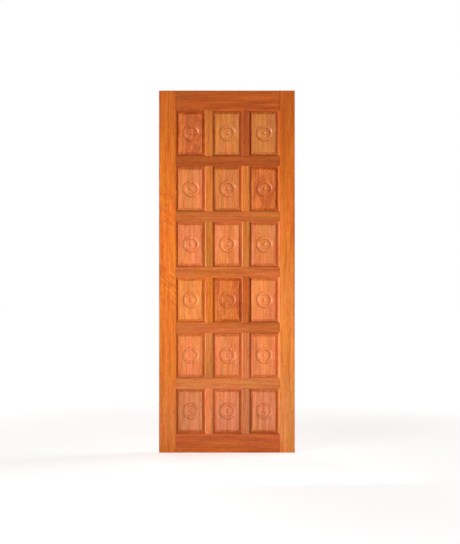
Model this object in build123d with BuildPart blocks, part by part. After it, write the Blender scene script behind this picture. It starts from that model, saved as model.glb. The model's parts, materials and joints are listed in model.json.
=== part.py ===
from build123d import *
import os

# Solid hardwood exterior door leaf, stile and rail, with eighteen raised panels.
# Each panel carries a turned roundel on its front face.
# Millimetres, +Z up. The front faces -Y, and the origin is the middle of the bottom edge.

# The leaf
leaf_width = 762.0
leaf_height = 2032.0
leaf_thickness = 44.0
arris = 1.0

# Flat faces of the frame members, without their mouldings
left_stile_face = 93.0
right_stile_face = 85.0
top_rail_face = 108.0
bottom_rail_face = 102.0
cross_rail_face = 50.0
muntin_face = 33.5
rows = 6
panel_columns = ("left", "centre", "right")
muntin_columns = ("left", "right")

# Moulding worked on every inner edge: a quirk, an ovolo and a flat lip beside the groove
quirk_depth = 2.0
ovolo_radius = 8.0
lip_width = 2.0

# Groove that takes the panels and the stub tenons
groove_width = 14.0
groove_depth = 10.0
tenon_end_gap = 0.5

# Raised and fielded panel
panel_side_clearance = 0.15
panel_swelling_gap = 3.0
margin_width = 1.0
bevel_width = 12.5
field_step = 1.5
field_recess = 5.0

# Roundel on the front field: a ring groove around a button with a dimple
roundel_radius = 48.0
ring_floor_outer_radius = 38.0
ring_floor_inner_radius = 32.0
button_radius = 24.0
ring_depth = 5.0
ring_wall_bow = 1.2
button_edge_drop = 1.2
button_crown_drop = 0.3
dimple_radius = 11.0
dimple_depth = 4.0
cutter_rise = 1.0

# Hidden dowels
rail_dowel_diameter = 12.0
rail_dowel_length = 120.0
cross_rail_dowel_spacing = 26.0
end_rail_dowel_spacing = 60.0
muntin_dowel_diameter = 10.0
muntin_dowel_length = 40.0
dowel_radial_clearance = 0.1
dowel_end_gap = 2.0
dowel_chamfer = 1.0

# Worked out from the sizes above
moulding_width = ovolo_radius + lip_width
moulding_depth = quirk_depth + ovolo_radius
columns = len(panel_columns)
half_thickness = leaf_thickness / 2
half_groove = groove_width / 2
groove_offset = groove_depth - moulding_width
left_edge = -leaf_width / 2
right_edge = leaf_width / 2
left_sight = left_edge + left_stile_face
right_sight = right_edge - right_stile_face
opening_width = (right_sight - left_sight - (columns - 1) * muntin_face) / columns
opening_height = (leaf_height - top_rail_face - bottom_rail_face
                  - (rows - 1) * cross_rail_face) / rows
column_pitch = opening_width + muntin_face
row_pitch = opening_height + cross_rail_face


def opening_left(column):
    return left_sight + column * column_pitch


def opening_top(row):
    return leaf_height - top_rail_face - row * row_pitch


def opening_bottom(row):
    return opening_top(row) - opening_height


def moulded_edge(sight, side, middle):
    """Half of a section: the flat faces out to the sight line, then moulding and groove.

    side is the way that the edge looks, +1 or -1 along the section.
    """
    face = half_thickness
    quirk = half_thickness - quirk_depth
    lip = half_thickness - moulding_depth
    nose = sight + side * moulding_width
    groove_bottom = nose - side * groove_depth
    Polyline((middle, -face), (sight, -face), (sight, -quirk))
    JernArc((sight, -quirk), (side, 0), ovolo_radius, side * 90)
    Polyline((nose - side * lip_width, -lip), (nose, -lip), (nose, -half_groove),
             (groove_bottom, -half_groove), (groove_bottom, half_groove),
             (nose, half_groove), (nose, lip), (nose - side * lip_width, lip))
    JernArc((sight, quirk), (side, 0), ovolo_radius, -side * 90)
    Polyline((sight, quirk), (sight, face), (middle, face))


def square_edge(outside, side, middle):
    """Half of a section: the flat faces out to a square edge with eased arrises."""
    face = half_thickness
    eased = outside - side * arris
    Polyline((middle, -face), (eased, -face), (outside, arris - face), (outside, face - arris),
             (eased, face), (middle, face))


def panel_section(opening):
    """Section of a panel across an opening: tongue, bevel, step and field on both faces."""
    tongue = half_groove - panel_side_clearance
    field = half_thickness - field_recess
    tongue_end = opening / 2 + groove_offset - panel_swelling_gap
    bevel_foot = opening / 2 - moulding_width - margin_width
    field_edge = bevel_foot - bevel_width
    quarter = [(tongue_end, tongue), (bevel_foot, tongue), (field_edge, field - field_step),
               (field_edge, field)]
    half = quarter + [(-across, depth) for across, depth in reversed(quarter)]
    Polyline(*half, *[(-across, -depth) for across, depth in half], close=True)


def roundel_section():
    """What the roundel takes away, as radius and depth below the field."""
    Polyline((0, dimple_depth), (0, -cutter_rise), (roundel_radius, -cutter_rise),
             (roundel_radius, 0))
    SagittaArc((roundel_radius, 0), (ring_floor_outer_radius, ring_depth), -ring_wall_bow)
    Line((ring_floor_outer_radius, ring_depth), (ring_floor_inner_radius, ring_depth))
    SagittaArc((ring_floor_inner_radius, ring_depth), (button_radius, button_edge_drop),
               ring_wall_bow)
    Line((button_radius, button_edge_drop), (dimple_radius, button_crown_drop))
    TangentArc((0, dimple_depth), (dimple_radius, button_crown_drop), tangent=(1, 0))


def upright_plane(x, y, z):
    """Plane of a section that is seen from above, with its width to the right."""
    return Plane(origin=(x, y, z), x_dir=(1, 0, 0), z_dir=(0, 0, 1))


def level_plane(x, z):
    """Plane of a section that is seen from the left, with its width upwards."""
    return Plane(origin=(x, 0, z), x_dir=(0, 0, 1), z_dir=(-1, 0, 0))


def rail_dowel_places(low, high, spacing):
    """Middles of the dowels that hold a rail's two ends to the stiles."""
    middle = (low + high) / 2
    return [(x, 0, z) for x in (left_sight, right_sight)
            for z in (middle - spacing / 2, middle + spacing / 2)]


def bore_for_rail_dowels(places):
    with Locations(*places):
        Cylinder(rail_dowel_diameter / 2 + dowel_radial_clearance,
                 rail_dowel_length + 2 * dowel_end_gap, rotation=(0, 90, 0), mode=Mode.SUBTRACT)


def bore_for_muntin_dowels(places):
    with Locations(*places):
        Cylinder(muntin_dowel_diameter / 2 + dowel_radial_clearance,
                 muntin_dowel_length + 2 * dowel_end_gap, mode=Mode.SUBTRACT)


def make_stile(label, outside, sight, side, dowel_places):
    """A stile runs the full height, and its moulded edge looks towards side."""
    middle = (outside + sight) / 2
    with BuildPart() as stile:
        with BuildSketch(upright_plane(0, 0, 0)):
            with BuildLine():
                square_edge(outside, -side, middle)
                moulded_edge(sight, side, middle)
            make_face()
        extrude(amount=leaf_height)
        bore_for_rail_dowels(dowel_places)
    stile.part.label = label
    return stile.part


def make_rail(label, low, high, low_edge, high_edge, dowel_spacing, stiles):
    """A rail is coped over the stiles' mouldings, with a stub tenon in each groove."""
    middle = (low + high) / 2
    left_end = left_sight - groove_offset + tenon_end_gap
    right_end = right_sight + groove_offset - tenon_end_gap
    muntin_sights = [sight for sight, edge in ((low, low_edge), (high, high_edge))
                     if edge is moulded_edge]
    with BuildPart() as rail:
        with BuildSketch(level_plane(right_end, 0)):
            with BuildLine():
                low_edge(low, -1, middle)
                high_edge(high, 1, middle)
            make_face()
        extrude(amount=right_end - left_end)
        add(stiles, mode=Mode.SUBTRACT)
        bore_for_rail_dowels(rail_dowel_places(low, high, dowel_spacing))
        bore_for_muntin_dowels([(x, 0, z) for x in muntin_centres for z in muntin_sights])
    rail.part.label = label
    return rail.part


def make_muntin(rails):
    """The first muntin, coped over the rails above and below it, with stub tenons."""
    left = opening_left(0) + opening_width
    right = left + muntin_face
    middle = (left + right) / 2
    low_end = opening_bottom(0) - groove_offset + tenon_end_gap
    high_end = opening_top(0) + groove_offset - tenon_end_gap
    with BuildPart() as muntin:
        with BuildSketch(upright_plane(0, 0, low_end)):
            with BuildLine():
                moulded_edge(left, -1, middle)
                moulded_edge(right, 1, middle)
            make_face()
        extrude(amount=high_end - low_end)
        add(rails, mode=Mode.SUBTRACT)
        bore_for_muntin_dowels([(middle, 0, opening_bottom(0)), (middle, 0, opening_top(0))])
    return muntin.part


def make_panel():
    """The first panel: raised on both faces, loose in its grooves, with a roundel in front."""
    x = opening_left(0) + opening_width / 2
    z = (opening_top(0) + opening_bottom(0)) / 2
    with BuildPart() as panel:
        with BuildSketch(upright_plane(x, 0, z)):
            with BuildLine():
                panel_section(opening_width)
            make_face()
        extrude(amount=opening_height / 2 + groove_offset - panel_swelling_gap, both=True)
        with BuildSketch(level_plane(x, z)):
            with BuildLine():
                panel_section(opening_height)
            make_face()
        extrude(amount=opening_width, both=True, mode=Mode.INTERSECT)
        with BuildSketch(upright_plane(x, field_recess - half_thickness, z)):
            with BuildLine():
                roundel_section()
            make_face()
        revolve(axis=Axis((x, 0, z), (0, 1, 0)), mode=Mode.SUBTRACT)
    return panel.part


def place_copy(label, pattern, column, row):
    """A like piece, as many columns to the right and rows down as the numbers say."""
    with BuildPart() as copy:
        with Locations((column * column_pitch, 0, -row * row_pitch)):
            add(pattern)
    copy.part.label = label
    return copy.part


def make_dowels(label, diameter, length, places, rotation):
    """Dowels of one size, as separate solids in one group."""
    with BuildPart() as dowels:
        with Locations(*places):
            Cylinder(diameter / 2, length, rotation=rotation)
        chamfer(dowels.edges().filter_by(GeomType.CIRCLE), dowel_chamfer)
    dowels.part.label = label
    return dowels.part


top_rail_place = (opening_top(0), leaf_height, end_rail_dowel_spacing)
cross_rail_places = [(opening_top(row + 1), opening_bottom(row), cross_rail_dowel_spacing)
                     for row in range(rows - 1)]
bottom_rail_place = (0, opening_bottom(rows - 1), end_rail_dowel_spacing)

rail_dowels = []
for low, high, spacing in [top_rail_place, *cross_rail_places, bottom_rail_place]:
    rail_dowels += rail_dowel_places(low, high, spacing)

muntin_centres = [opening_left(column + 1) - muntin_face / 2 for column in range(columns - 1)]
muntin_dowels = [(x, 0, z) for row in range(rows) for x in muntin_centres
                 for z in (opening_top(row), opening_bottom(row))]

stiles = [make_stile("left_stile", left_edge, left_sight, 1, rail_dowels),
          make_stile("right_stile", right_edge, right_sight, -1, rail_dowels)]

low, high, spacing = top_rail_place
top_rail = make_rail("top_rail", low, high, moulded_edge, square_edge, spacing, stiles)
low, high, spacing = cross_rail_places[0]
cross_rail = make_rail("cross_rail", low, high, moulded_edge, moulded_edge, spacing, stiles)
low, high, spacing = bottom_rail_place
bottom_rail = make_rail("bottom_rail", low, high, square_edge, moulded_edge, spacing, stiles)
muntin = make_muntin([top_rail, cross_rail])
panel = make_panel()

pieces = [*stiles, top_rail, bottom_rail]
for row in range(rows - 1):
    pieces.append(place_copy(f"cross_rail_{row + 1}", cross_rail, 0, row))
for row in range(rows):
    for column, side in enumerate(muntin_columns):
        pieces.append(place_copy(f"muntin_{row + 1}_{side}", muntin, column, row))
    for column, side in enumerate(panel_columns):
        pieces.append(place_copy(f"panel_{row + 1}_{side}", panel, column, row))
pieces.append(make_dowels("rail_dowels", rail_dowel_diameter, rail_dowel_length,
                          rail_dowels, (0, 90, 0)))
pieces.append(make_dowels("muntin_dowels", muntin_dowel_diameter, muntin_dowel_length,
                          muntin_dowels, (0, 0, 0)))

os.makedirs("parts", exist_ok=True)
for piece in pieces:
    export_step(piece, f"parts/{piece.label}.step")
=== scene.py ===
import json
import math
import random

import bpy
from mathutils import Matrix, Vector

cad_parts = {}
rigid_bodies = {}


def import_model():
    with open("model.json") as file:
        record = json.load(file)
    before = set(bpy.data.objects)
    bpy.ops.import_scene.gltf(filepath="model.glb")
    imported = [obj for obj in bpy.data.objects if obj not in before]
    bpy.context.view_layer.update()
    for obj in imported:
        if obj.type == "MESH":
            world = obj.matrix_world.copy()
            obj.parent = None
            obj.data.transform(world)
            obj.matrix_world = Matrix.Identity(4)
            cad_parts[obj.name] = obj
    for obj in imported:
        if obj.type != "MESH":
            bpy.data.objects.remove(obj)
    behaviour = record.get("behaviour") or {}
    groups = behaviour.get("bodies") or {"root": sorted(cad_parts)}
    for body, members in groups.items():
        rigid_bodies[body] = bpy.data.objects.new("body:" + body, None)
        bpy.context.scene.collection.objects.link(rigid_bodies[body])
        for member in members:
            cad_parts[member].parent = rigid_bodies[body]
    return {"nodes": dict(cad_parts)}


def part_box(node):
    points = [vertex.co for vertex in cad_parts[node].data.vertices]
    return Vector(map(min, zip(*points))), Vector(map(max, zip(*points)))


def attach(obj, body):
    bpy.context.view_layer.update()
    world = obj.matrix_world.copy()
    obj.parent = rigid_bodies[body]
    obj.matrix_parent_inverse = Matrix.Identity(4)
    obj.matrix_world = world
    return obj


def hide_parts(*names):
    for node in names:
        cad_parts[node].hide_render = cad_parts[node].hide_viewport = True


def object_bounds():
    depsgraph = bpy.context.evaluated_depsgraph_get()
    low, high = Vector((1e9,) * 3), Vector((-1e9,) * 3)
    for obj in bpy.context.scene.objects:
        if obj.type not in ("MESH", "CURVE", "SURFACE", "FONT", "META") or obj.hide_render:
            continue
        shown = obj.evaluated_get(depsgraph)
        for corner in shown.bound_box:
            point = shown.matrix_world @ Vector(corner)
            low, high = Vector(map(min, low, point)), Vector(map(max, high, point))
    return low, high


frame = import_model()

bl_info = {
    "name": "Panelled Hardwood Door Leaf",
    "version": (1, 0, 0),
    "blender": (4, 5, 0),
    "location": "3D View > Sidebar > Door",
    "description": "Finishes a stile and rail door leaf with raised panels and roundels",
    "category": "Object",
}

CAD_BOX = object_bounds()
ROOT = "root"
ROWS = range(1, 7)
SIDES = ("left", "centre", "right")
RAILS = ("top_rail", "bottom_rail", *(f"cross_rail_{row}" for row in range(1, 6)))
MUNTINS = tuple(f"muntin_{row}_{side}" for row in ROWS for side in ("left", "right"))
PANELS = tuple(f"panel_{row}_{side}" for row in ROWS for side in SIDES)
DOWELS = ("rail_dowels", "muntin_dowels")
HALF_THICKNESS = CAD_BOX[1].y
# Gap between a panel's edge and the bottom of its groove, where the wood can swell
SWELLING_GAP = 0.003
# Cuts along a panel's short and long edges, which give the roundel its rings' points
SHORT_EDGE_CUTS = 15
LONG_EDGE_CUTS = 31


class PanelSizes(bpy.types.PropertyGroup):
    """Section of a raised panel and its roundel."""
    tongue_thickness: bpy.props.FloatProperty(
        name="Tongue Thickness", description="Thickness of the edge that sits in the groove",
        default=0.0137, unit="LENGTH")
    tongue_width: bpy.props.FloatProperty(
        name="Tongue Width", description="From the panel's edge to the foot of the bevel",
        default=0.008, unit="LENGTH")
    bevel_width: bpy.props.FloatProperty(
        name="Bevel Width", description="Width of the slope around the field",
        default=0.0125, unit="LENGTH")
    field_step: bpy.props.FloatProperty(
        name="Field Step", description="Height of the small step around the field",
        default=0.0015, unit="LENGTH")
    roundel_radius: bpy.props.FloatProperty(
        name="Roundel Radius", description="Outer radius of the ring groove",
        default=0.048, unit="LENGTH")
    floor_outer: bpy.props.FloatProperty(
        name="Groove Floor Outer", description="Outer radius of the ring groove's floor",
        default=0.038, unit="LENGTH")
    floor_inner: bpy.props.FloatProperty(
        name="Groove Floor Inner", description="Inner radius of the ring groove's floor",
        default=0.032, unit="LENGTH")
    button_radius: bpy.props.FloatProperty(
        name="Button Radius", description="Radius of the button inside the ring groove",
        default=0.024, unit="LENGTH")
    groove_depth: bpy.props.FloatProperty(
        name="Groove Depth", description="Depth of the ring groove below the field",
        default=0.005, unit="LENGTH")
    button_edge: bpy.props.FloatProperty(
        name="Button Edge Drop", description="How far the button's edge lies below the field",
        default=0.0012, unit="LENGTH")
    button_crown: bpy.props.FloatProperty(
        name="Button Crown Drop", description="How far the button's crown lies below the field",
        default=0.0003, unit="LENGTH")
    dimple_radius: bpy.props.FloatProperty(
        name="Dimple Radius", description="Radius of the dimple in the button",
        default=0.011, unit="LENGTH")
    dimple_depth: bpy.props.FloatProperty(
        name="Dimple Depth", description="Depth of the dimple below the field",
        default=0.004, unit="LENGTH")
    wall_bow: bpy.props.FloatProperty(
        name="Wall Bow", description="Swelling of the ring groove's two walls",
        default=0.0012, unit="LENGTH")
    dimple_bow: bpy.props.FloatProperty(
        name="Dimple Bow", description="Hollowing of the dimple's slope",
        default=0.0009, unit="LENGTH")
    soft_edge: bpy.props.FloatProperty(
        name="Soft Edge", description="Radius that sanding leaves on the sharp edges",
        default=0.0006, unit="LENGTH")


def tone(label, about, default):
    """A colour setting of the sidebar."""
    return bpy.props.FloatVectorProperty(name=label, description=about, subtype="COLOR",
                                         size=3, min=0, max=1, default=default)


class WoodTones(bpy.types.PropertyGroup):
    """Colours of the varnished boards, each with its light bands and its dark streaks."""
    orange_pale: tone("Orange Pale", "Light bands of the left stile", (0.91, 0.236, 0.023))
    orange_deep: tone("Orange Deep", "Dark streaks of the left stile", (0.61, 0.119, 0.007))
    amber_pale: tone("Amber Pale", "Light bands of the yellower boards", (0.86, 0.255, 0.040))
    amber_deep: tone("Amber Deep", "Dark streaks of the yellower boards", (0.58, 0.140, 0.012))
    russet_pale: tone("Russet Pale", "Light bands of the red-brown boards",
                      (0.59, 0.120, 0.012))
    russet_deep: tone("Russet Deep", "Dark streaks of the red-brown boards",
                      (0.35, 0.054, 0.004))
    chestnut_pale: tone("Chestnut Pale", "Light bands of the middling boards",
                        (0.71, 0.178, 0.038))
    chestnut_deep: tone("Chestnut Deep", "Dark streaks of the middling boards",
                        (0.45, 0.092, 0.012))
    rose_pale: tone("Rose Pale", "Light bands of the pinkish boards", (0.92, 0.268, 0.080))
    rose_deep: tone("Rose Deep", "Dark streaks of the pinkish boards", (0.64, 0.146, 0.031))
    ochre_pale: tone("Ochre Pale", "Light bands of the brownish boards", (0.84, 0.258, 0.054))
    ochre_deep: tone("Ochre Deep", "Dark streaks of the brownish boards", (0.56, 0.141, 0.021))
    flame_pale: tone("Flame Pale", "Light bands of the figured boards", (0.90, 0.238, 0.041))
    flame_deep: tone("Flame Deep", "Dark streaks of the figured boards", (0.54, 0.092, 0.007))
    dowel_pale: tone("Dowel Pale", "Light bands of the hidden dowels", (0.66, 0.46, 0.28))
    dowel_deep: tone("Dowel Deep", "Dark streaks of the hidden dowels", (0.50, 0.33, 0.19))


# The board that each piece is cut from and how light that board is. Other pieces take
# the board of their kind.
CHOSEN_BOARDS = {
    "left_stile": ("orange", 1.0),
    "right_stile": ("amber", 0.98),
    "top_rail": ("russet", 1.24),
    "cross_rail_1": ("russet", 0.94),
    "cross_rail_2": ("chestnut", 0.92),
    "cross_rail_4": ("chestnut", 0.96),
    "cross_rail_5": ("rose", 0.86),
    "bottom_rail": ("russet", 1.24),
    "muntin_1_right": ("russet", 1.08),
    "muntin_3_left": ("amber", 0.80),
    "muntin_3_right": ("amber", 0.80),
    "muntin_4_left": ("orange", 0.95),
    "muntin_4_right": ("russet", 1.02),
    "muntin_5_left": ("ochre", 0.86),
    "muntin_5_right": ("rose", 0.80),
    "muntin_6_left": ("rose", 1.04),
    "muntin_6_right": ("rose", 0.74),
    "panel_1_left": ("flame", 1.04),
    "panel_1_centre": ("ochre", 1.05),
    "panel_1_right": ("ochre", 0.98),
    "panel_2_centre": ("ochre", 0.98),
    "panel_2_right": ("flame", 0.98),
    "panel_3_centre": ("rose", 0.97),
    "panel_3_right": ("rose", 0.93),
    "panel_4_left": ("ochre", 1.10),
    "panel_4_centre": ("flame", 0.98),
    "panel_6_left": ("rose", 0.86),
    "panel_6_centre": ("rose", 0.93),
    "panel_6_right": ("rose", 0.89),
}
BOARDS_BY_KIND = {"panel": ("rose", 1.0), "muntin": ("amber", 0.96), "cross": ("chestnut", 1.0)}

# Each stile's figure, its tints at foot and head, and the heights between which it ripples
STILE_LOOKS = {
    "left_stile": {"grain": {"Ripple": 0.42, "Slant": 0.8},
                   "drift": ((0.94, 0.92, 1.05), (1.02, 0.92, 0.75)),
                   "ripple_heights": (0.72, 1.46)},
    "right_stile": {"grain": {"Ripple": 0.03, "Wander": 0.02},
                    "drift": ((1.06, 1.14, 1.60), (0.96, 0.71, 0.32))},
}


class StageSettings(bpy.types.PropertyGroup):
    """Camera and lamps."""
    lens: bpy.props.FloatProperty(
        name="Lens", description="Focal length of the camera in millimetres",
        default=85.0, subtype="DISTANCE_CAMERA")
    view_height: bpy.props.FloatProperty(
        name="View Height", description="Height of the picture at the door's face",
        default=3.052, unit="LENGTH")
    centre_right: bpy.props.FloatProperty(
        name="Centre Right", description="How far the camera stands right of the door's middle",
        default=0.0172, unit="LENGTH")
    centre_height: bpy.props.FloatProperty(
        name="Centre Height", description="Height of the camera above the floor",
        default=1.0138, unit="LENGTH")
    key_power: bpy.props.FloatProperty(
        name="Key Power", description="Power of the soft lamp on the left", default=19.4)
    foot_power: bpy.props.FloatProperty(
        name="Foot Power", description="Power of the strip of light on the floor", default=2.8)
    back_power: bpy.props.FloatProperty(
        name="Back Power", description="Power of the soft lamp behind the door", default=8.0)
    side_power: bpy.props.FloatProperty(
        name="Side Power", description="Power of the soft lamp high up on the right",
        default=6.0)
    room_light: bpy.props.FloatProperty(
        name="Room Light", description="Brightness of the surroundings", default=0.22)
    floor_glow: bpy.props.FloatProperty(
        name="Floor Glow", description="How white the far floor looks to the camera alone",
        default=0.82)
    near_glow: bpy.props.FloatProperty(
        name="Near Glow", description="How white the floor at the door looks to the camera",
        default=0.60)


class Nodes:
    """Places nodes in a tree and links them."""

    def __init__(self, tree):
        self.tree = tree

    def add(self, kind, **values):
        node = self.tree.nodes.new(kind)
        for name, value in values.items():
            setattr(node, name, value)
        return node

    def link(self, source, target):
        self.tree.links.new(source, target)

    def feed(self, socket, value):
        if isinstance(value, bpy.types.NodeSocket):
            self.link(value, socket)
        else:
            socket.default_value = value

    def math(self, operation, a, b=0.0, c=0.0, clamp=False):
        node = self.add("ShaderNodeMath", operation=operation, use_clamp=clamp)
        for socket, value in zip(node.inputs, (a, b, c)):
            self.feed(socket, value)
        return node.outputs[0]

    def split(self, vector):
        """The three parts of a vector."""
        node = self.add("ShaderNodeSeparateXYZ")
        self.link(vector, node.inputs[0])
        return node.outputs

    def use(self, group):
        """A node that uses the named group."""
        return self.add("ShaderNodeGroup", node_tree=bpy.data.node_groups[group])

    def scaled(self, vector, factors):
        node = self.add("ShaderNodeVectorMath", operation="MULTIPLY")
        self.feed(node.inputs[0], vector)
        self.feed(node.inputs[1], factors)
        return node.outputs[0]

    def noise(self, vector, seed, scale, detail=2.0, roughness=0.5):
        node = self.add("ShaderNodeTexNoise", noise_dimensions="4D")
        self.feed(node.inputs["Vector"], vector)
        self.feed(node.inputs["W"], seed)
        self.feed(node.inputs["Scale"], scale)
        self.feed(node.inputs["Detail"], detail)
        self.feed(node.inputs["Roughness"], roughness)
        return node.outputs["Fac"]

    def ramp(self, value, low, high, to_low=0.0, to_high=1.0):
        """A smooth step from to_low to to_high while the value goes from low to high."""
        node = self.add("ShaderNodeMapRange", interpolation_type="SMOOTHSTEP")
        for socket, number in zip(node.inputs, (value, low, high, to_low, to_high)):
            self.feed(socket, number)
        return node.outputs[0]

    def mix(self, factor, a, b, blend="MIX"):
        """Two colours mixed: sockets 6, 7 and 2 are the node's colours."""
        node = self.add("ShaderNodeMix", data_type="RGBA", blend_type=blend)
        self.feed(node.inputs[0], factor)
        self.feed(node.inputs[6], a)
        self.feed(node.inputs[7], b)
        return node.outputs[2]


def new_group(name, inputs, outputs):
    """An empty node group with named sockets, its helper and its two ends."""
    group = bpy.data.node_groups.new(name, "ShaderNodeTree")
    for label, kind, value in inputs:
        socket = group.interface.new_socket(label, in_out="INPUT", socket_type=kind)
        if value is not None:
            socket.default_value = value
    for label, kind in outputs:
        group.interface.new_socket(label, in_out="OUTPUT", socket_type=kind)
    nodes = Nodes(group)
    return group, nodes, nodes.add("NodeGroupInput").outputs, nodes.add("NodeGroupOutput").inputs


def hardwood_grain_group():
    """Figure of the wood, with the grain along the vector's Z."""
    group, nodes, given, made = new_group(
        "Hardwood Grain",
        [("Vector", "NodeSocketVector", None), ("Seed", "NodeSocketFloat", 0.0),
         ("Pale", "NodeSocketColor", (0.8, 0.3, 0.1, 1)),
         ("Deep", "NodeSocketColor", (0.4, 0.1, 0.02, 1)),
         ("Wander", "NodeSocketFloat", 0.012), ("Ripple", "NodeSocketFloat", 0.03),
         ("Slant", "NodeSocketFloat", 0.6), ("Flame", "NodeSocketFloat", 0.0)],
        [("Color", "NodeSocketColor"), ("Roughness", "NodeSocketFloat"),
         ("Height", "NodeSocketFloat")])
    vector, seed = given["Vector"], given["Seed"]

    slow = nodes.noise(nodes.scaled(vector, (1, 1, 0.35)), seed, 6.0, 2.0)
    sway = nodes.math("MULTIPLY", nodes.math("SUBTRACT", slow, 0.5), given["Wander"])
    parts = nodes.split(vector)
    swayed = nodes.add("ShaderNodeCombineXYZ")
    nodes.link(nodes.math("ADD", parts["X"], sway), swayed.inputs[0])
    nodes.link(nodes.math("ADD", parts["Y"], sway), swayed.inputs[1])
    nodes.link(parts["Z"], swayed.inputs[2])
    along = swayed.outputs[0]

    ribbons = nodes.noise(nodes.scaled(along, (1, 1, 0.05)), seed, 48.0, 3.0, 0.55)
    streaks = nodes.noise(nodes.scaled(along, (1, 1, 0.03)), seed, 165.0, 3.0, 0.62)
    fibres = nodes.noise(nodes.scaled(along, (1, 1, 0.022)), seed, 820.0, 2.0, 0.6)
    mottle = nodes.noise(nodes.scaled(vector, (1, 1, 0.45)), seed, 150.0, 2.0, 0.6)
    weave = nodes.math("MULTIPLY", ribbons, 0.36)
    for part, share in ((streaks, 0.32), (fibres, 0.16), (mottle, 0.16)):
        weave = nodes.math("ADD", weave, nodes.math("MULTIPLY", part, share))
    tone_share = nodes.ramp(weave, 0.385, 0.595)

    # Flame: the grain swirls and darkens in slanted tongues
    tongues = nodes.noise(nodes.scaled(vector, (1, 1, 0.6)), nodes.math("ADD", seed, 5.7),
                          24.0, 3.0, 0.6)
    tongue = nodes.math("MULTIPLY", nodes.ramp(tongues, 0.44, 0.62), given["Flame"])
    tone_share = nodes.math("SUBTRACT", tone_share, tongue, clamp=True)
    color = nodes.mix(tone_share, given["Deep"], given["Pale"])

    # Threads: fine lines of redder and yellower wood
    threads = nodes.noise(nodes.scaled(along, (1, 1, 0.05)), nodes.math("ADD", seed, 4.4),
                          300.0, 3.0, 0.65)
    redder = nodes.mix(1.0, color, (1.0, 0.80, 0.60, 1), "MULTIPLY")
    golden = nodes.mix(1.0, color, (0.99, 1.20, 1.24, 1), "MULTIPLY")
    color = nodes.mix(nodes.ramp(threads, 0.40, 0.60), redder, golden)

    # Blush: slow drift between pinker and yellower wood
    drift = nodes.noise(nodes.scaled(vector, (1, 1, 0.22)), nodes.math("ADD", seed, 9.1),
                        11.0, 2.0, 0.5)
    pinker = nodes.mix(1.0, color, (1.01, 0.97, 1.16, 1), "MULTIPLY")
    yellower = nodes.mix(1.0, color, (0.98, 1.04, 0.84, 1), "MULTIPLY")
    color = nodes.mix(nodes.ramp(drift, 0.36, 0.64), pinker, yellower)

    # Ripple: figure of interlocked grain in short slanted licks, with a painted sheen where such
    # grain catches the light
    tilted = nodes.add("ShaderNodeVectorRotate", rotation_type="Y_AXIS")
    nodes.link(vector, tilted.inputs["Vector"])
    nodes.link(given["Slant"], tilted.inputs["Angle"])
    licks = nodes.noise(nodes.scaled(tilted.outputs[0], (1, 1, 0.24)),
                        nodes.math("ADD", seed, 2.6), 58.0, 3.0, 0.6)
    where = nodes.ramp(nodes.noise(nodes.scaled(vector, (1, 1, 0.5)), seed, 7.0, 1.0),
                       0.42, 0.60)
    swing = nodes.math("SUBTRACT", nodes.ramp(licks, 0.36, 0.64), 0.5)
    ripple = nodes.math("MULTIPLY", nodes.math("MULTIPLY", swing, where), given["Ripple"])

    # Cloud: slow change of light and dark, which the ripple is added to
    cloud = nodes.noise(nodes.scaled(vector, (1, 1, 0.3)), nodes.math("ADD", seed, 7.3),
                        9.0, 2.0)
    lift = nodes.math("MULTIPLY", nodes.math("SUBTRACT", cloud, 0.5), 0.26)
    lift = nodes.math("ADD", lift, 1.0)
    shade = nodes.add("ShaderNodeCombineColor")
    for socket, share in zip(shade.inputs[:3], (0.6, 1.2, 1.5)):
        nodes.link(nodes.math("MULTIPLY_ADD", ripple, share, lift), socket)
    color = nodes.mix(1.0, color, shade.outputs[0], "MULTIPLY")

    # Dark mineral streaks, and the open pores with varnish over them
    mineral = nodes.noise(nodes.scaled(along, (1, 1, 0.04)), nodes.math("ADD", seed, 1.9),
                          70.0, 2.0, 0.6)
    color = nodes.mix(nodes.math("MULTIPLY", nodes.ramp(mineral, 0.60, 0.76), 0.30), color,
                      (0.22, 0.038, 0.004, 1))
    pores = nodes.noise(nodes.scaled(along, (1, 1, 0.035)), nodes.math("ADD", seed, 3.1),
                        1150.0, 1.0)
    pore = nodes.ramp(pores, 0.60, 0.70)
    color = nodes.mix(nodes.math("MULTIPLY", pore, 0.40), color, (0.30, 0.020, 0.003, 1))
    nodes.link(color, made["Color"])
    nodes.link(nodes.math("ADD", nodes.math("MULTIPLY", streaks, 0.12), 0.26),
               made["Roughness"])
    nodes.link(nodes.math("SUBTRACT", nodes.math("MULTIPLY", fibres, 0.5), pore),
               made["Height"])
    return group


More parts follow.
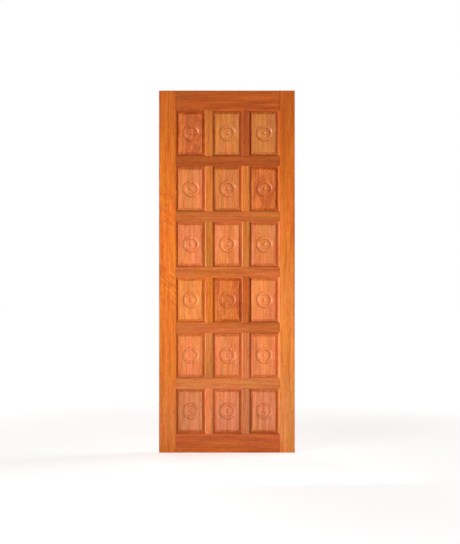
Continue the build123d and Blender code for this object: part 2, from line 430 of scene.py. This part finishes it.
def stain_and_painted_shade_group():
    """Darker colour along the joints and on end grain, and painted shade in the corners, creases
    and recesses, on the panel's slopes and on ledges that look up.

    It goes by how far a point lies below the leaf's faces, and by where the surface looks.
    """
    group, nodes, given, made = new_group(
        "Settled Stain",
        [("Color", "NodeSocketColor", (0.8, 0.3, 0.1, 1)), ("Vector", "NodeSocketVector", None),
         ("Normal", "NodeSocketVector", None),
         ("Corner Start", "NodeSocketFloat", 0.0085), ("Corner End", "NodeSocketFloat", 0.0105),
         ("Corner Strength", "NodeSocketFloat", 0.3), ("Line Depth", "NodeSocketFloat", -1.0),
         ("Line Centre", "NodeSocketVector", None), ("Line Clear", "NodeSocketFloat", 0.0),
         ("Ring Strength", "NodeSocketFloat", 0.0), ("Slope Strength", "NodeSocketFloat", 0.0),
         ("Ledge Strength", "NodeSocketFloat", 0.3),
         ("Joint Axis", "NodeSocketVector", None), ("Joint Centre", "NodeSocketFloat", 0.0),
         ("Joint Half", "NodeSocketFloat", 100.0)],
        [("Color", "NodeSocketColor")])
    facing_up = nodes.split(given["Normal"])["Z"]
    sunk = nodes.math("SUBTRACT", HALF_THICKNESS,
                      nodes.math("ABSOLUTE", nodes.split(given["Vector"])["Y"]))
    patchy = nodes.ramp(nodes.noise(given["Vector"], 2.0, 60.0, 2.0), 0.30, 0.60, 0.55, 1.0)

    # Painted shade: darker with depth in the corners and recesses below the leaf's faces
    corner = nodes.math("MULTIPLY", given["Corner Strength"],
                        nodes.ramp(sunk, given["Corner Start"], given["Corner End"]))

    # Painted shade: a dark line in the crease at the foot of a panel's small step, which stops
    # at the roundel
    off_line = nodes.math("ABSOLUTE", nodes.math("SUBTRACT", sunk, given["Line Depth"]))
    away = nodes.add("ShaderNodeVectorMath", operation="SUBTRACT")
    nodes.link(given["Vector"], away.inputs[0])
    nodes.link(given["Line Centre"], away.inputs[1])
    flat = nodes.add("ShaderNodeVectorMath", operation="LENGTH")
    nodes.link(nodes.scaled(away.outputs[0], (1, 0, 1)), flat.inputs[0])
    clear = nodes.math("GREATER_THAN", flat.outputs["Value"], given["Line Clear"])
    line = nodes.math("MULTIPLY", nodes.ramp(off_line, 0.0003, 0.0012, 1.0, 0.0), 0.35)
    line = nodes.math("MULTIPLY", line, clear)

    # Darker end grain with painted shade on the roundel's walls that look up or down, painted
    # shade on the panel's slopes, and painted shade on ledges that look up
    end_grain_and_shade = nodes.ramp(nodes.math("ABSOLUTE", facing_up), 0.10, 0.42)
    ring = nodes.math("MULTIPLY", end_grain_and_shade, given["Ring Strength"])
    ring = nodes.math("MULTIPLY", ring, nodes.math("SUBTRACT", 1.0, clear))
    slope = nodes.math("MULTIPLY", nodes.ramp(sunk, 0.0062, 0.0070), given["Slope Strength"])
    slope = nodes.math("MULTIPLY", slope, clear)
    ledge = nodes.math("MULTIPLY", nodes.ramp(facing_up, 0.25, 0.8),
                       nodes.math("MULTIPLY", nodes.ramp(sunk, 0.002, 0.006),
                                  given["Ledge Strength"]))

    # The shoulders, where a rail meets the stiles or a muntin meets the rails
    run = nodes.add("ShaderNodeVectorMath", operation="DOT_PRODUCT")
    nodes.link(given["Vector"], run.inputs[0])
    nodes.link(given["Joint Axis"], run.inputs[1])
    off_joint = nodes.math("SUBTRACT", given["Joint Half"], nodes.math(
        "ABSOLUTE", nodes.math("SUBTRACT", run.outputs["Value"], given["Joint Centre"])))
    joint = nodes.math("MULTIPLY", nodes.ramp(off_joint, 0.0008, 0.0042, 1.0, 0.0), 0.8)

    fill = corner
    for mask in (line, ring, slope, ledge, joint):
        fill = nodes.math("MAXIMUM", fill, mask)
    fill = nodes.math("MULTIPLY", fill, patchy)
    # Dark colour of the painted shade, of the darker end grain and of the joint lines
    stained_and_shaded = nodes.mix(1.0, given["Color"], (0.36, 0.10, 0.05, 1), "MULTIPLY")
    nodes.link(nodes.mix(fill, given["Color"], stained_and_shaded), made["Color"])
    return group


def board_drift_group():
    """Slow change of a long board's colour from its foot to its head."""
    group, nodes, given, made = new_group(
        "Board Drift",
        [("Color", "NodeSocketColor", (0.8, 0.3, 0.1, 1)), ("Vector", "NodeSocketVector", None),
         ("Foot Tint", "NodeSocketColor", (1, 1, 1, 1)),
         ("Head Tint", "NodeSocketColor", (1, 1, 1, 1))],
        [("Color", "NodeSocketColor")])
    stray = nodes.noise(nodes.scaled(given["Vector"], (1, 1, 0.2)), 4.0, 14.0, 2.0)
    height = nodes.math("ADD", nodes.split(given["Vector"])["Z"], nodes.math(
        "MULTIPLY", nodes.math("SUBTRACT", stray, 0.5), 1.2))
    tint = nodes.mix(nodes.ramp(height, 0.25, 1.75), given["Foot Tint"], given["Head Tint"])
    nodes.link(nodes.mix(1.0, given["Color"], tint, "MULTIPLY"), made["Color"])
    return group


def board_of(name):
    """The board that a piece is cut from, as its name and lightness."""
    return CHOSEN_BOARDS.get(name) or BOARDS_BY_KIND[name.split("_")[0]]


def varnished_wood(name, tones, board, seed, level=False, grain=None, stain=None, drift=None,
                   ripple_heights=None, coat=0.28):
    """Varnished hardwood for one piece.

    level turns the grain from upright to sideways, grain holds values for the figure's group and
    the next argument values for the group of joint lines, darker end grain and painted shade,
    drift is a tint at the foot and at the head, and ripple_heights keep the ripple between two
    heights.
    """
    material = bpy.data.materials.new(name)
    material.use_nodes = True
    nodes = Nodes(material.node_tree)
    shader = material.node_tree.nodes["Principled BSDF"]
    where = nodes.add("ShaderNodeTexCoord")
    turn = nodes.add("ShaderNodeMapping")
    nodes.link(where.outputs["Object"], turn.inputs["Vector"])
    turn.inputs["Rotation"].default_value = (0, math.radians(90) if level else 0, 0)
    turn.inputs["Location"].default_value = (seed * 0.37, seed * 0.11, seed * 0.53)
    figure = nodes.use("Hardwood Grain")
    nodes.link(turn.outputs[0], figure.inputs["Vector"])
    figure.inputs["Seed"].default_value = seed
    kind, lightness = board
    for socket, part in (("Pale", "pale"), ("Deep", "deep")):
        color = getattr(tones, f"{kind}_{part}")
        figure.inputs[socket].default_value = (*(min(1.0, c * lightness) for c in color), 1)
    for socket, value in (grain or {}).items():
        figure.inputs[socket].default_value = value
    if ripple_heights:
        height = nodes.split(where.outputs["Object"])["Z"]
        low, high = ripple_heights
        window = nodes.math("MULTIPLY", nodes.ramp(height, low - 0.15, low + 0.1),
                            nodes.ramp(height, high - 0.1, high + 0.15, 1.0, 0.0))
        nodes.link(nodes.math("MULTIPLY", window, figure.inputs["Ripple"].default_value),
                   figure.inputs["Ripple"])
    color = figure.outputs["Color"]
    if drift:
        slow = nodes.use("Board Drift")
        nodes.link(color, slow.inputs["Color"])
        nodes.link(where.outputs["Object"], slow.inputs["Vector"])
        for socket, tint in zip(("Foot Tint", "Head Tint"), drift):
            slow.inputs[socket].default_value = (*tint, 1)
        color = slow.outputs["Color"]
    # Dark joint lines, darker end grain, and painted shade in the corners and recesses, on the
    # slopes and on ledges that look up
    stain_and_shade = nodes.use("Settled Stain")
    nodes.link(color, stain_and_shade.inputs["Color"])
    nodes.link(where.outputs["Object"], stain_and_shade.inputs["Vector"])
    nodes.link(where.outputs["Normal"], stain_and_shade.inputs["Normal"])
    for socket, value in (stain or {}).items():
        stain_and_shade.inputs[socket].default_value = value
    nodes.link(stain_and_shade.outputs["Color"], shader.inputs["Base Color"])
    nodes.link(figure.outputs["Roughness"], shader.inputs["Roughness"])
    bump = nodes.add("ShaderNodeBump")
    bump.inputs["Strength"].default_value = 0.3
    bump.inputs["Distance"].default_value = 0.00015
    nodes.link(figure.outputs["Height"], bump.inputs["Height"])
    nodes.link(bump.outputs[0], shader.inputs["Normal"])
    shader.inputs["Specular IOR Level"].default_value = 0.12
    shader.inputs["Coat Weight"].default_value = coat
    shader.inputs["Coat Roughness"].default_value = 0.27
    return material


def dress(piece, material):
    """Gives a piece one material all over."""
    piece.data.materials.clear()
    piece.data.materials.append(material)


def deselect_all():
    for thing in bpy.context.view_layer.objects:
        thing.select_set(False)
    bpy.context.view_layer.objects.active = None


def select_only(piece):
    deselect_all()
    piece.select_set(True)
    bpy.context.view_layer.objects.active = piece


def rectangle_step(centre, now, after, sink):
    """Extrudes the selected rectangle of edges to new half sizes, and pushes it in by sink."""
    bpy.ops.mesh.extrude_region_move(TRANSFORM_OT_translate={"value": (0, sink, 0)})
    bpy.ops.transform.resize(value=(after[0] / now[0], 1, after[1] / now[1]),
                             center_override=centre)


def arc_points(start, end, bow, count):
    """Points after start along a shallow arc, as radius and depth."""
    (r0, d0), (r1, d1) = start, end
    length = math.hypot(r1 - r0, d1 - d0)
    across = ((d1 - d0) / length, -(r1 - r0) / length)
    points = []
    for step in range(1, count + 1):
        t = step / count
        swell = 4 * bow * t * (1 - t)
        points.append((r0 + (r1 - r0) * t + across[0] * swell,
                       d0 + (d1 - d0) * t + across[1] * swell))
    return points


def roundel_profile(sizes):
    """Radius and depth of each ring of the roundel, from its rim to its middle."""
    rim = (sizes.roundel_radius, 0.0)
    floor_outer = (sizes.floor_outer, sizes.groove_depth)
    floor_inner = (sizes.floor_inner, sizes.groove_depth)
    button = (sizes.button_radius, sizes.button_edge)
    crown = (sizes.dimple_radius, sizes.button_crown)
    # The last ring is tiny, and is merged to one point
    middle = (0.0002, sizes.dimple_depth)
    profile = [rim]
    profile += arc_points(rim, floor_outer, sizes.wall_bow, 6)
    profile += arc_points(floor_outer, floor_inner, 0.0, 2)
    profile += arc_points(floor_inner, button, -sizes.wall_bow, 6)
    profile += arc_points(button, crown, 0.0, 3)
    profile += arc_points(crown, middle, sizes.dimple_bow, 6)
    return profile


def select_edges(piece, test):
    """Selects the edges whose two ends both pass the test."""
    bpy.ops.object.mode_set(mode="OBJECT")
    mesh = piece.data
    for part in (*mesh.vertices, *mesh.edges, *mesh.polygons):
        part.select = False
    for edge in mesh.edges:
        if all(test(mesh.vertices[v].co) for v in edge.vertices):
            edge.select = True
    bpy.ops.object.mode_set(mode="EDIT")


def raised_panel(sizes, node):
    """Models one panel where its node is.

    The field's edge and the roundel's rim are bridged, the roundel grows inwards from the
    rim, and the slopes, the tongue and the back grow outwards from the field's edge.
    """
    low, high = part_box(node)
    middle = (low + high) / 2
    half = ((high.x - low.x) / 2, (high.z - low.z) / 2)
    foot = tuple(h - sizes.tongue_width for h in half)
    field = tuple(h - sizes.bevel_width for h in foot)
    front = Vector((middle.x, low.y, middle.z))

    deselect_all()
    bpy.ops.mesh.primitive_plane_add(size=2, location=front, rotation=(math.radians(90), 0, 0))
    piece = bpy.context.active_object
    bpy.ops.object.transform_apply(location=True, rotation=True, scale=True)
    bpy.ops.object.mode_set(mode="EDIT")
    bpy.ops.mesh.select_mode(type="EDGE")
    bpy.ops.mesh.select_all(action="SELECT")
    bpy.ops.transform.resize(value=(field[0], 1, field[1]), center_override=front)
    bpy.ops.mesh.delete(type="ONLY_FACE")
    for cuts, axis, reach in ((SHORT_EDGE_CUTS, 2, field[1]), (LONG_EDGE_CUTS, 0, field[0])):
        for side in (-1, 1):
            line = front[axis] + side * reach
            select_edges(piece, lambda co: abs(co[axis] - line) < 1e-5)
            bpy.ops.mesh.subdivide(number_cuts=cuts)
    bpy.ops.mesh.select_all(action="DESELECT")
    bpy.ops.mesh.primitive_circle_add(vertices=2 * (SHORT_EDGE_CUTS + LONG_EDGE_CUTS + 2),
                                      radius=sizes.roundel_radius, location=front,
                                      rotation=(math.radians(90), 0, 0))
    bpy.ops.mesh.select_all(action="SELECT")
    bpy.ops.mesh.bridge_edge_loops()

    def in_roundel(co):
        return math.hypot(co.x - front.x, co.z - front.z) < sizes.roundel_radius + 1e-4

    select_edges(piece, in_roundel)
    profile = roundel_profile(sizes)
    for (radius, depth), (radius_after, depth_after) in zip(profile, profile[1:]):
        bpy.ops.mesh.extrude_region_move(
            TRANSFORM_OT_translate={"value": (0, depth_after - depth, 0)})
        factor = radius_after / radius
        bpy.ops.transform.resize(value=(factor, 1, factor), center_override=front)
    bpy.ops.mesh.merge(type="CENTER")

    def on_field_edge(co):
        return (abs(abs(co.x - front.x) - field[0]) < 1e-5
                or abs(abs(co.z - front.z) - field[1]) < 1e-5) and abs(co.y - front.y) < 1e-6

    select_edges(piece, on_field_edge)
    thick = high.y - low.y
    tongue = sizes.tongue_thickness
    slope = (thick - tongue) / 2 - sizes.field_step
    rectangle_step(front, field, field, sizes.field_step)
    rectangle_step(front, field, foot, slope)
    rectangle_step(front, foot, half, 0)
    rectangle_step(front, half, half, tongue)
    rectangle_step(front, half, foot, 0)
    rectangle_step(front, foot, field, slope)
    rectangle_step(front, field, field, sizes.field_step)
    bpy.ops.mesh.edge_face_add()
    bpy.ops.mesh.select_all(action="SELECT")
    bpy.ops.mesh.remove_doubles(threshold=1e-6)
    bpy.ops.mesh.normals_make_consistent(inside=False)
    bpy.ops.object.mode_set(mode="OBJECT")
    return piece


def sand_edges(piece, radius):
    """Softens the sharp edges as sandpaper does, and shades what is round smoothly."""
    select_only(piece)
    bpy.ops.object.modifier_add(type="BEVEL")
    bevel = piece.modifiers[-1]
    bevel.width = radius
    bevel.segments = 2
    bevel.limit_method = "ANGLE"
    bevel.angle_limit = math.radians(24)
    bpy.ops.object.modifier_apply(modifier=bevel.name)
    bpy.ops.object.shade_smooth_by_angle(angle=math.radians(40))
    bpy.ops.object.modifier_add(type="WEIGHTED_NORMAL")
    flats = piece.modifiers[-1]
    flats.keep_sharp = True
    flats.weight = 80
    bpy.ops.object.modifier_apply(modifier=flats.name)


def copy_to(piece, name, shift):
    """A copy with its own mesh, whose place is in that mesh."""
    select_only(piece)
    bpy.ops.object.duplicate(linked=False)
    copy = bpy.context.active_object
    bpy.ops.transform.translate(value=shift)
    bpy.ops.object.transform_apply(location=True, rotation=False, scale=False)
    copy.name = name
    copy.data.name = name
    return copy


def sight_box():
    """The lowest and highest corner of the space inside the stiles and rails."""
    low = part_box("panel_6_left")[0]
    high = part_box("panel_1_right")[1]
    shift = Vector((SWELLING_GAP, 0, SWELLING_GAP))
    return low - shift, high + shift


class DOOR_OT_wood(bpy.types.Operator):
    """Makes the node groups that every wood material uses"""
    bl_idname = "door.wood"
    bl_label = "Wood Effects"

    def execute(self, context):
        hardwood_grain_group()
        board_drift_group()
        stain_and_painted_shade_group()
        return {"FINISHED"}


class DOOR_OT_frame(bpy.types.Operator):
    """Finishes the stiles, rails and muntins"""
    bl_idname = "door.frame"
    bl_label = "Stiles, Rails and Muntins"

    def execute(self, context):
        tones = context.scene.door_tones
        low, high = sight_box()
        draw = random.Random(11)
        # Every member keeps the group's own values, which paint shade in its moulding recesses
        # and on its ledges that look up
        for name, looks in STILE_LOOKS.items():
            dress(frame["nodes"][name], varnished_wood(
                name, tones, board_of(name), draw.uniform(1, 90), **looks))
        for name in RAILS:
            joint = {"Joint Axis": (1, 0, 0), "Joint Centre": (low.x + high.x) / 2,
                     "Joint Half": (high.x - low.x) / 2}
            dress(frame["nodes"][name], varnished_wood(
                name, tones, board_of(name), draw.uniform(1, 90), level=True,
                grain={"Wander": 0.008}, stain=joint))
        for name in MUNTINS:
            beside = "_".join(("panel", *name.split("_")[1:]))
            bottom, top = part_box(beside)
            joint = {"Joint Axis": (0, 0, 1), "Joint Centre": (bottom.z + top.z) / 2,
                     "Joint Half": (top.z - bottom.z) / 2 + SWELLING_GAP}
            dress(frame["nodes"][name], varnished_wood(
                name, tones, board_of(name), draw.uniform(1, 90),
                grain={"Wander": 0.006}, stain=joint))
        return {"FINISHED"}


class DOOR_OT_panels(bpy.types.Operator):
    """Models a raised panel with its roundel, and copies it into every opening"""
    bl_idname = "door.panels"
    bl_label = "Raised Panels"

    def execute(self, context):
        sizes = context.scene.door_panel
        tones = context.scene.door_tones
        draw = random.Random(23)
        first = PANELS[0]
        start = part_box(first)[0]
        step_foot = start.y - CAD_BOX[0].y + sizes.field_step
        bevel_foot = HALF_THICKNESS - sizes.tongue_thickness / 2
        # Painted shade at the bevel's foot, in the crease at the step's foot, on the roundel's
        # walls with their end grain, on the slopes and on ledges that look up
        sunk = {"Corner Start": bevel_foot - 0.0016, "Corner End": bevel_foot,
                "Corner Strength": 0.15, "Line Depth": step_foot,
                "Line Clear": sizes.roundel_radius + 0.005, "Ring Strength": 0.20,
                "Slope Strength": 0.17, "Ledge Strength": 0.17}
        pattern = raised_panel(sizes, first)
        sand_edges(pattern, sizes.soft_edge)
        for node in PANELS:
            piece = copy_to(pattern, f"raised_{node}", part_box(node)[0] - start)
            figured = board_of(node)[0] == "flame"
            dress(piece, varnished_wood(
                node, tones, board_of(node), draw.uniform(1, 90),
                grain={"Wander": 0.05 if figured else draw.uniform(0.006, 0.018),
                       "Flame": 0.45 if figured else 0.0,
                       "Ripple": draw.uniform(0.02, 0.07), "Slant": draw.uniform(-0.8, 0.8)},
                stain={**sunk, "Line Centre": sum(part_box(node), Vector()) / 2}, coat=0.6))
            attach(piece, ROOT)
            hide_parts(node)
        bpy.data.objects.remove(pattern)
        return {"FINISHED"}


class DOOR_OT_dowels(bpy.types.Operator):
    """Finishes the hidden dowels in plain pale wood"""
    bl_idname = "door.dowels"
    bl_label = "Dowels"

    def execute(self, context):
        tones = context.scene.door_tones
        for name in DOWELS:
            dress(frame["nodes"][name], varnished_wood(
                name, tones, ("dowel", 1.0), 5.0, level=name == "rail_dowels",
                stain={"Corner Strength": 0.0, "Ledge Strength": 0.0}))
        return {"FINISHED"}


def soft_lamp(name, place, aim, size, power, spread=180.0):
    """An area lamp that points at a place and isn't seen itself."""
    light = bpy.data.lights.new(name, "AREA")
    light.shape = "RECTANGLE"
    light.size, light.size_y = size
    light.energy = power
    light.spread = math.radians(spread)
    lamp = bpy.data.objects.new(name, light)
    bpy.context.scene.collection.objects.link(lamp)
    lamp.location = place
    lamp.rotation_euler = (Vector(aim) - Vector(place)).to_track_quat("-Z", "Y").to_euler()
    lamp.visible_camera = False


def seen_ray(nodes):
    """One where the camera, a mirror or glass looks, and nought where light bounces."""
    path = nodes.add("ShaderNodeLightPath").outputs
    seen = nodes.math("MAXIMUM", path["Is Camera Ray"], path["Is Glossy Ray"])
    return nodes.math("MAXIMUM", seen, path["Is Transmission Ray"])


def make_floor(stage):
    """A plain pale floor that looks white from afar and keeps the door's shadow."""
    deselect_all()
    bpy.ops.mesh.primitive_plane_add(size=60, location=(0, 0, 0))
    floor = bpy.context.active_object
    floor.name = "floor"
    material = bpy.data.materials.new("floor")
    material.use_nodes = True
    nodes = Nodes(material.node_tree)
    shader = material.node_tree.nodes["Principled BSDF"]
    shader.inputs["Base Color"].default_value = (0.82, 0.81, 0.80, 1)
    shader.inputs["Roughness"].default_value = 0.9
    shader.inputs["Specular IOR Level"].default_value = 0.1
    from_door = nodes.add("ShaderNodeVectorMath", operation="LENGTH")
    nodes.link(nodes.add("ShaderNodeTexCoord").outputs["Object"], from_door.inputs[0])
    near, far = ((*[value] * 3, 1) for value in (stage.near_glow, stage.floor_glow))
    white = nodes.mix(nodes.ramp(from_door.outputs["Value"], 0.6, 3.2), near, far)
    glow = nodes.mix(seen_ray(nodes), (0, 0, 0, 1), white)
    nodes.link(glow, shader.inputs["Emission Color"])
    shader.inputs["Emission Strength"].default_value = 1.0
    dress(floor, material)


def make_surroundings(scene, stage):
    """A dim even light all round, which the camera and mirrors see as white."""
    world = bpy.data.worlds.new("surroundings")
    scene.world = world
    world.use_nodes = True
    nodes = Nodes(world.node_tree)
    dim = world.node_tree.nodes["Background"]
    dim.inputs["Color"].default_value = (1, 1, 1, 1)
    dim.inputs["Strength"].default_value = stage.room_light
    white = nodes.add("ShaderNodeBackground")
    white.inputs["Color"].default_value = (1, 1, 1, 1)
    choose = nodes.add("ShaderNodeMixShader")
    nodes.link(seen_ray(nodes), choose.inputs[0])
    nodes.link(dim.outputs[0], choose.inputs[1])
    nodes.link(white.outputs[0], choose.inputs[2])
    nodes.link(choose.outputs[0], world.node_tree.nodes["World Output"].inputs["Surface"])


def make_camera(scene, stage):
    """A camera square on to the door's front, as far off as the lens asks."""
    camera = bpy.data.objects.new("camera", bpy.data.cameras.new("camera"))
    scene.collection.objects.link(camera)
    camera.data.lens = stage.lens
    camera.data.sensor_width = 36.0
    away = stage.view_height / 2 / (camera.data.sensor_width / 2 / stage.lens)
    camera.location = (stage.centre_right, CAD_BOX[0].y - away, stage.centre_height)
    camera.rotation_euler = (math.radians(90), 0, 0)
    camera.data.clip_end = 100.0
    scene.camera = camera


class DOOR_OT_stage(bpy.types.Operator):
    """Adds the floor, the surroundings, the lamps and the camera"""
    bl_idname = "door.stage"
    bl_label = "Stage"

    def execute(self, context):
        scene = context.scene
        stage = scene.door_stage
        make_floor(stage)
        make_surroundings(scene, stage)
        soft_lamp("key_lamp", (-2.75, -3.5, 0.80), (0.6, 0, 1.14), (1.8, 1.4),
                  stage.key_power, 50)
        soft_lamp("foot_lamp", (0.1, -1.15, 0.05), (0, 0, 0.55), (1.5, 0.25),
                  stage.foot_power)
        soft_lamp("back_lamp", (-1.5, 3.6, 1.45), (0, 0, 1.25), (1.8, 1.6),
                  stage.back_power, 46)
        soft_lamp("side_lamp", (2.7, 0.9, 3.3), (0.3, 0, 1.25), (1.6, 1.6),
                  stage.side_power, 60)
        make_camera(scene, stage)
        scene.view_settings.view_transform = "Standard"
        return {"FINISHED"}


class DOOR_PT_sidebar(bpy.types.Panel):
    """Lists the steps that finish the door"""
    bl_idname = "DOOR_PT_sidebar"
    bl_label = "Door Leaf"
    bl_space_type = "VIEW_3D"
    bl_region_type = "UI"
    bl_category = "Door"

    def draw(self, context):
        for step in STEPS:
            self.layout.operator(step.bl_idname)


STEPS = (DOOR_OT_wood, DOOR_OT_frame, DOOR_OT_panels, DOOR_OT_dowels, DOOR_OT_stage)
CLASSES = (PanelSizes, WoodTones, StageSettings, *STEPS, DOOR_PT_sidebar)


def register():
    for item in CLASSES:
        bpy.utils.register_class(item)
    bpy.types.Scene.door_panel = bpy.props.PointerProperty(type=PanelSizes)
    bpy.types.Scene.door_tones = bpy.props.PointerProperty(type=WoodTones)
    bpy.types.Scene.door_stage = bpy.props.PointerProperty(type=StageSettings)


def unregister():
    del bpy.types.Scene.door_stage
    del bpy.types.Scene.door_tones
    del bpy.types.Scene.door_panel
    for item in reversed(CLASSES):
        bpy.utils.unregister_class(item)


def main():
    register()
    bpy.ops.door.wood()
    bpy.ops.door.frame()
    bpy.ops.door.panels()
    bpy.ops.door.dowels()
    bpy.ops.door.stage()


if __name__ == "__main__":
    main()
